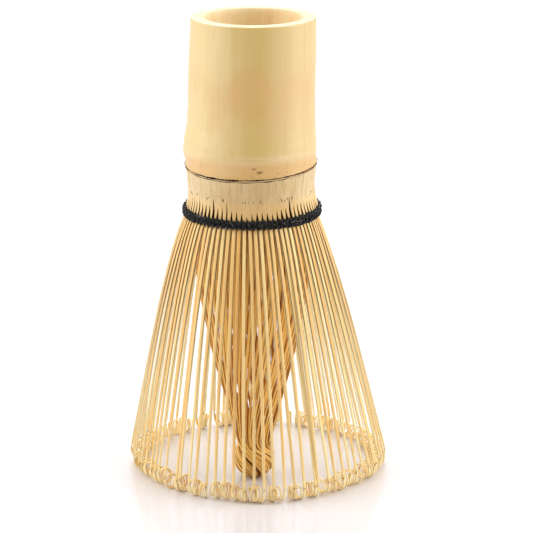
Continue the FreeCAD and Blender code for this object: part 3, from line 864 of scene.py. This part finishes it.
def outer_tine_path(tine, rng):
    """A tine from behind the thread down to the end of its curl."""
    angle = (tine + 0.5) * PITCH
    wander = FOOT_WAVE * wave_noise(math.cos(angle) * 4, math.sin(angle) * 4, 7.0)
    wander += rng.gauss(0, FOOT_STRAY)
    foot_angle = angle + math.radians(wander) + CROWDED.get(tine, 0.0) * PITCH
    foot_angle -= BACK_TURN * max(0.0, math.sin(angle)) * PITCH
    foot_out = direction(foot_angle)
    root = on_axis(0) + direction(angle) * TINE_ROOT_RADIUS
    pulled_in = RING_DENT * math.sin(2 * foot_angle) ** 2 if foot_out.y < 0 else 0.0
    foot = RING_SHIFT + foot_out * (RING_MIDDLE - pulled_in + rng.gauss(0, RING_STRAY) * MM)
    reach = foot - root
    flare, outward = reach.length, reach.normalized()
    side = outward.cross(Vector((0, 0, 1)))
    power = FLARE_POWER + FLARE_LEAN * math.cos(angle)
    bow, sway = rng.gauss(0, BOW_STRAY) * MM, rng.gauss(0, SWAY_STRAY) * MM
    least, most = TWIST_LIMITS
    twist_end = math.radians(max(least, min(most, rng.gauss(TWIST_MIDDLE, TWIST_STRAY))))
    width_root, width_foot = rng.uniform(*ROOT_WIDTHS) * MM, rng.uniform(*FOOT_WIDTHS) * MM
    width_curl = rng.uniform(*CURL_WIDTHS) * MM
    lift = abs(rng.gauss(0, LIFT_STRAY)) * MM
    foot_z = TINE_FOOT_Z + lift
    points, outwards, half_widths, half_thicks = [], [], [], []
    for k in range(SHAFT_STEPS + 1):
        share = (k / SHAFT_STEPS) ** 1.3
        z = lerp(TINE_ROOT_Z, foot_z, share)
        below = max(0.0, (RELEASE_Z - z) / (RELEASE_Z - foot_z))
        belly = math.sin(math.pi * below)
        spread = flare * below**power + bow * belly
        points.append(Vector((root.x, root.y, z)) + outward * spread + side * (sway * belly))
        turn = twist_end * smooth_step(0.45, 1.0, below)
        outwards.append(outward * math.cos(turn) + side * math.sin(turn))
        half_widths.append(lerp(width_root, width_foot, below**1.4))
        half_thicks.append(lerp(ROOT_THICK, FOOT_THICK, below**0.8) * MM)
    heading = (points[-1] - points[-2]).normalized()
    out = outwards[-1] - heading * outwards[-1].dot(heading)
    across = out.normalized().cross(heading)
    turns = rng.uniform(*CURL_TURNS) * 2 * math.pi
    radius = rng.uniform(*CURL_RADII) * MM
    advance = rng.uniform(*CURL_PITCHES) * MM
    here = points[-1].copy()
    step = (turns + LEAD_IN) / CURL_STEPS
    for k in range(CURL_STEPS):
        turned = (k + 0.5) * step
        wound = max(0.0, (turned - LEAD_IN) / turns)
        bend = radius * (LEAD_IN_BEND if turned < LEAD_IN else lerp(1.0, CURL_TIGHTENS, wound))
        spin = Matrix.Rotation(step / 2, 3, across)
        heading = spin @ heading
        here = here + heading * (bend * step) - across * (advance * step / (2 * math.pi))
        heading = spin @ heading
        points.append(here.copy())
        outwards.append(across.cross(heading))
        half_width = lerp(width_foot, width_curl, smooth_step(0.0, 0.4, wound))
        half_widths.append(half_width * lerp(1.0, 0.65, smooth_step(0.8, 1.0, wound)))
        half_thicks.append(lerp(FOOT_THICK, END_THICK, wound) * MM)
    # the curl rests on the floor, and the shaft above it is stretched or shortened to match
    drop = min(place.z for place in points) - CURL_REST - lift * 0.5
    for place in points:
        place.z -= drop * smooth_step(TINE_ROOT_Z, foot_z, place.z) if place.z > foot_z else drop
    path = with_frames(points, outwards, half_widths, half_thicks)
    sunk = min(
        place.z - abs(across.z) * half_width - abs(outward.z) * half_thick
        for place, outward, across, half_width, half_thick in path
    )
    for place in points:  # these points are also the path's own
        place.z -= min(0.0, sunk) * smooth_step(TINE_ROOT_Z, foot_z, place.z)
    return path


def outer_tines():
    rng = random.Random(11)
    section = domed_section()
    for number in range(TINE_GROUPS):
        strips = Strips()
        for k in range(TINES_PER_GROUP):
            path = outer_tine_path(number * TINES_PER_GROUP + k, rng)
            strips.sweep(path, section, rng.random())
        label = f"{number + 1:02d}"
        piece = strips.piece(f"outer_tine_strips_{label}", OUTER_STRIP)
        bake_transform(piece)
        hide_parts(f"outer_tines_{label}")


# -------- inner tines and the ball

INNER_STEPS = 56
BALL_STEPS = 30
INNER_ROOT_Z = upper_low.z
INNER_ROOT_RADIUS = SEAT + 0.95 * MM
CORE_TWIST = math.radians(-40)
CORE_FULLNESS = 0.45 * MM  # how far the core swells out below the thread
NECK_RADIUS = BALL_RADIUS * 0.98
BALL_MIDDLE = BALL - Vector((0, 0, 0.35 * MM))
BALL_FLAT = 0.22 * MM  # the strips under the ball lie flat on the floor
BALL_START, BALL_END = math.radians(44), math.radians(168)  # wraps, down from the ball's top
HEART_SHARE = 0.84  # radius of the ball's packed inside over the ball's own
# half widths and half thicknesses in mm
INNER_ROOT_WIDTHS, NECK_WIDTHS = (0.45, 0.49), (0.2, 0.24)
INNER_ROOT_THICK, NECK_THICK, WRAP_THICK = 0.2, 0.13, 0.17
TOP_WRAP_WIDTH, UNDER_WRAP_WIDTH = 0.21, 0.26
# share of the neck's radius at which the strips on top and those under them run
TOP_NECK, UNDER_NECK = (0.86, 0.98), (0.62, 0.85)
WRAP_TURN = (104, 124)  # degrees


def inner_shaft(root_angle, neck_angle, neck_radius, belly):
    """Middle line of a strip down the leaning core, with its outward directions. The core stays
    wide for the upper half and then draws in."""
    axis_root = on_axis(INNER_ROOT_Z)
    points, outwards = [], []
    for k in range(INNER_STEPS + 1):
        share = k / INNER_STEPS
        axis = axis_root.lerp(NECK, share)
        drawn_in = (1 - share**2.3) ** 1.3
        radius = lerp(neck_radius, INNER_ROOT_RADIUS, drawn_in) + belly * math.sin(math.pi * share)
        radius += CORE_FULLNESS * math.sin(math.pi * min(1.0, share / 0.55)) ** 2
        angle = lerp(root_angle, neck_angle, lerp(share, share**3, 0.8))
        outward = direction(angle)
        points.append(axis + outward * radius)
        outwards.append(outward)
    return points, outwards


def ball_wrap(neck_angle, wrap, surface, spread):
    """Middle line of a strip that comes out of the neck and sweeps around to the ball's foot."""
    points, outwards = [], []
    for k in range(1, BALL_STEPS + 1):
        share = k / BALL_STEPS
        polar = lerp(BALL_START, BALL_END, share**1.15) + spread * math.sin(math.pi * share) * 0.5
        azimuth = neck_angle + wrap * (1 - (1 - share) ** 1.7)
        outward = Vector(
            (math.sin(polar) * math.cos(azimuth), math.sin(polar) * math.sin(azimuth), math.cos(polar))
        )
        spot = BALL_MIDDLE + outward * surface
        spot.z = max(spot.z, BALL_FLAT)
        points.append(spot)
        outwards.append(outward)
    return points, outwards


def inner_tine_path(number, index, wrap, rng):
    """A strip from behind the thread down the core and around the ball, where every second
    strip lies on top of its neighbours."""
    root_angle = ((number + 0.5) * TINES_PER_GROUP + index - 2) * PITCH
    on_top = (number * TINES_PER_GROUP + index) % 2 == 0
    neck_angle = root_angle - (index - 2) * PITCH * 0.3 + CORE_TWIST + rng.gauss(0, 0.07)
    neck_radius = NECK_RADIUS * rng.uniform(*(TOP_NECK if on_top else UNDER_NECK))
    belly = rng.gauss(0, 0.2) * MM
    points, outwards = inner_shaft(root_angle, neck_angle, neck_radius, belly)
    width_root = rng.uniform(*INNER_ROOT_WIDTHS) * MM
    width_neck = rng.uniform(*NECK_WIDTHS) * MM
    half_widths, half_thicks = [], []
    for k in range(INNER_STEPS + 1):
        narrowed = min(1.0, 1.15 * k / INNER_STEPS) ** 1.5
        half_widths.append(lerp(width_root, width_neck, narrowed))
        half_thicks.append(lerp(INNER_ROOT_THICK, NECK_THICK, k / INNER_STEPS) * MM)
    surface = BALL_RADIUS * (1.02 if on_top else 0.93) + rng.gauss(0, 0.06) * MM
    more, outs = ball_wrap(neck_angle, wrap + (index - 2) * 0.05, surface, (index - 2) * 0.05)
    half_widths += [(TOP_WRAP_WIDTH if on_top else UNDER_WRAP_WIDTH) * MM] * len(more)
    half_thicks += [WRAP_THICK * MM] * len(more)
    points = smoothed(points + more, 4, INNER_STEPS - 8)
    return with_frames(points, outwards + outs, half_widths, half_thicks)


def inner_tines():
    rng = random.Random(41)
    section = rounded_section(0.3)
    for number in range(TINE_GROUPS):
        strips = Strips()
        wrap = math.radians(rng.uniform(*WRAP_TURN))
        for k in range(TINES_PER_GROUP):
            strips.sweep(inner_tine_path(number, k, wrap, rng), section, rng.random())
        label = f"{number + 1:02d}"
        piece = strips.piece(f"inner_tine_strips_{label}", INNER_STRIP)
        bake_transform(piece)
        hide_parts(f"inner_tines_{label}")


def ball_heart():
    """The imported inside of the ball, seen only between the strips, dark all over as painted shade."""
    rings, sides = 28, 40
    strips = Strips()
    path = []
    for k in range(rings + 1):
        polar = lerp(0.06, math.pi - 0.06, k / rings)
        size = BALL_RADIUS * HEART_SHARE * math.sin(polar)
        centre = BALL_MIDDLE + Vector((0, 0, BALL_RADIUS * HEART_SHARE * math.cos(polar)))
        path.append((centre, Vector((0, 1, 0)), Vector((-1, 0, 0)), size, size))
    strips.sweep(path, round_section(sides), 0.9)
    for number, spot in enumerate(strips.vertices):
        lump = 1 + 0.06 * wave_noise(spot.x * 900, spot.y * 900, spot.z * 400)
        strips.vertices[number] = BALL_MIDDLE + (spot - BALL_MIDDLE) * lump
    # painted shade: the whole heart takes the strips' dark gap colour
    strips.edge = [1.0] * len(strips.vertices)  # dark all over, as in a gap
    piece = strips.piece("core_ball_heart_painted_shade", INNER_STRIP)
    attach(piece, "core")
    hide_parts("core_knot")


# -------- thread

THREAD_STEPS = 12
PLY_RADIUS = 0.37 * MM
PLY_OFFSET = 0.25 * MM
PLY_LAY = 1.5 * MM  # length of one full twist of the two plies
ROW_DISTANCE = 0.5 * MM  # from the middle of the lacing to each row
KNOT_STEPS, TAIL_STEPS = 60, 13
KNOT_CORD = 0.22  # half thickness in mm
HAIR_COUNT, PALE_AND_GLINT_SHARE, HAIR_STEPS = 150, 0.16, 8


def thread_row(strips, z, radius, lean, seed, thickness=1.0):
    """Two plies twisted together that rise over each tine and sink into each gap."""
    twist_count = round(2 * math.pi * radius / PLY_LAY)
    for ply in (0, 1):
        path = []
        for angle in turn_angles(TINE_COUNT * THREAD_STEPS):
            c, s = math.cos(angle), math.sin(angle)
            over = math.cos(TINE_COUNT * (angle - PITCH / 2))
            slack = wave_noise(c * 9, s * 9, seed)
            r = radius + 0.17 * MM * over + 0.08 * MM * slack
            height = z + lean * math.sin(TINE_COUNT * angle) + tilt(angle, THREAD_Z)
            height += 0.1 * MM * wave_noise(c * 7, s * 7, seed + 5)
            spin = twist_count * angle + math.pi * ply
            outward, up = direction(angle), Vector((0, 0, 1))
            offset = outward * math.cos(spin) + up * math.sin(spin)
            spot = on_axis(height) + outward * r + offset * PLY_OFFSET * thickness
            size = PLY_RADIUS * thickness
            path.append((spot, outward, up, size, size))
        strips.sweep(path, round_section(8), 0.5, closed=True)


def thread_weave():
    """Two rows outside the tines, and a thinner one between the two rings of tines."""
    strips = Strips()
    middle = THREAD_OUT - 0.5 * MM
    thread_row(strips, THREAD_Z + ROW_DISTANCE, middle, 0.16 * MM, 1.0)
    thread_row(strips, THREAD_Z - ROW_DISTANCE, middle, -0.16 * MM, 6.0)
    thread_row(strips, THREAD_Z - 0.1 * MM, SEAT + 1.75 * MM, 0.1 * MM, 12.0, 0.45)
    piece = strips.piece("thread_weave", THREAD)
    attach(piece, "handle")
    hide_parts("thread_upper_row", "thread_lower_row")


def thread_knot():
    """A small overhand knot with two short tails, at the back."""
    strips = Strips()
    knot_place = (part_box("thread_knot")[0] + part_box("thread_knot")[1]) / 2
    size = 0.42 * MM
    points = []
    for k in range(KNOT_STEPS + 1):
        turn = 2 * math.pi * k / KNOT_STEPS
        x = math.sin(turn) + 2 * math.sin(2 * turn)
        z = math.cos(turn) - 2 * math.cos(2 * turn)
        y = -math.sin(3 * turn)
        points.append(knot_place + Vector((x, y * 0.7 + 0.6, z * 0.8)) * size)
    sizes = [KNOT_CORD * MM] * len(points)
    path = with_frames(points, [Vector((0.1, 1, 0.1))] * len(points), sizes, sizes)
    strips.sweep(path, round_section(8), 0.5)
    for sign in (1, -1):
        tail, sizes = [], []
        for k in range(TAIL_STEPS + 1):
            share = k / TAIL_STEPS
            away = 0.5 + 0.5 * math.sin(share * 2.4)
            tail.append(knot_place + Vector((sign * (0.4 + 1.5 * share), away, -0.9 * share**2)) * MM)
            sizes.append(lerp(KNOT_CORD, 0.16, share) * MM)
        path = with_frames(tail, [Vector((0, 1, 0.2))] * len(tail), sizes, sizes)
        strips.sweep(path, round_section(8), 0.5)
    piece = strips.piece("thread_knot_tied", THREAD)
    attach(piece, "handle")
    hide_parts("thread_knot")


def thread_fuzz():
    """Loose hairs of the cotton, and a few pale fibres: partly bamboo fibres caught in it, partly painted
    glints on the thread.
    """
    rng = random.Random(77)
    strips = Strips()
    for _ in range(HAIR_COUNT):
        angle = rng.uniform(0, 2 * math.pi)
        out = direction(angle)
        along = Vector((-math.sin(angle), math.cos(angle), 0))
        z = rng.uniform(lower_low.z, upper_high.z) + tilt(angle, THREAD_Z)
        start = on_axis(z) + out * (THREAD_OUT - 0.15 * MM)
        # the pale hairs stand partly for bamboo fibres and partly for painted glints on the thread
        pale = rng.random() < PALE_AND_GLINT_SHARE
        length = rng.uniform(0.8, 2.2) * MM * (1.3 if pale else 0.8)
        swing = rng.uniform(-1, 1)
        lift = rng.uniform(-0.8, 0.8)
        curve = rng.uniform(-0.6, 0.6)
        points, sizes = [], []
        for k in range(HAIR_STEPS + 1):
            share = k / HAIR_STEPS
            spot = start + along * (swing * length * share) + out * (0.12 * length * share)
            spot += Vector((0, 0, lift * length * share + curve * length * share**2))
            points.append(spot)
            sizes.append(lerp(0.035, 0.015, share) * MM * (1.5 if pale else 1.0))
        path = with_frames(points, [out] * len(points), sizes, sizes)
        strips.sweep(path, round_section(5), 1.0 if pale else rng.uniform(0.0, 0.35))
    piece = strips.piece("thread_loose_hairs", FUZZ)
    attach(piece, "handle")


# -------- stage, light and camera

CAMERA_PLACE = Vector((-2.06 * MM, -600 * MM, 211.0 * MM))
CAMERA_YAW = math.radians(0.39)
CAMERA_PITCH = math.radians(15.24)
CAMERA_LENS = 181.65
FLOOR_CORNERS = ((-4, -4, 0), (4, -4, 0), (4, 4, 0), (-4, 4, 0))
WORLD_COLOUR = (1.0, 0.99, 0.975, 1)
# strength of the world, from behind the whisk to in front of it, by the Y of the direction
WORLD_FADE = {"From Min": -0.25, "From Max": -0.9, "To Min": 0.86, "To Max": 0.375}
# soft boxes: name, place, size, power, colour
SOFT_BOXES = (
    ("left_box", (-2.0, -0.15, 0.9), (1.6, 1.8), 25.0, (1.0, 0.99, 0.97)),
    ("right_box", (2.0, -0.15, 0.9), (1.6, 1.8), 27.0, (1.0, 0.99, 0.97)),
    ("top_box", (0.0, 0.6, 2.5), (1.6, 1.6), 17.0, (1.0, 1.0, 1.0)),
    ("back_box", (0.0, 1.75, 1.05), (0.7, 0.5), 20.0, (1.0, 0.99, 0.98)),
)


def stage():
    floor = make_piece("floor", FLOOR_CORNERS, [(0, 1, 2, 3)], [floor_material()])


def soft_box(name, place, size, power, colour):
    """A rectangular light that faces the middle of the whisk."""
    light = bpy.data.lights.new(name, "AREA")
    light.shape = "RECTANGLE"
    light.size, light.size_y = size
    light.energy = power
    light.color = colour
    lamp = bpy.data.objects.new(name, light)
    lamp.location = place
    target = Vector((0, 0, TOP / 2))
    lamp.rotation_euler = (target - Vector(place)).to_track_quat("-Z", "Y").to_euler()
    bpy.context.scene.collection.objects.link(lamp)


def lights():
    """Soft boxes, and an even world that is dimmer in front of the whisk than behind it."""
    world = bpy.data.worlds.new("studio")
    bpy.context.scene.world = world
    world.use_nodes = True
    nodes, links = world.node_tree.nodes, world.node_tree.links
    place = nodes.new("ShaderNodeTexCoord")
    split = nodes.new("ShaderNodeSeparateXYZ")
    links.new(place.outputs["Generated"], split.inputs["Vector"])
    toward_front = nodes.new("ShaderNodeMapRange")
    toward_front.interpolation_type = "SMOOTHSTEP"
    links.new(split.outputs["Y"], toward_front.inputs["Value"])
    for key, value in WORLD_FADE.items():
        toward_front.inputs[key].default_value = value
    nodes["Background"].inputs["Color"].default_value = WORLD_COLOUR
    links.new(toward_front.outputs["Result"], nodes["Background"].inputs["Strength"])
    for settings in SOFT_BOXES:
        soft_box(*settings)



def camera():
    data = bpy.data.cameras.new("camera")
    data.lens = CAMERA_LENS
    data.sensor_width = 36.0
    data.clip_start, data.clip_end = 0.01, 20.0
    eye = bpy.data.objects.new("camera", data)
    eye.location = CAMERA_PLACE
    eye.rotation_euler = (math.pi / 2 - CAMERA_PITCH, 0.0, -CAMERA_YAW)
    bpy.context.scene.collection.objects.link(eye)
    bpy.context.scene.camera = eye


camera()
stage()
lights()
bpy.context.scene.view_settings.view_transform = "Standard"
handle()
diaphragm()
scar_lines()
collar()
outer_tines()
inner_tines()
ball_heart()
thread_weave()
thread_knot()
thread_fuzz()

bpy.context.view_layer.update()
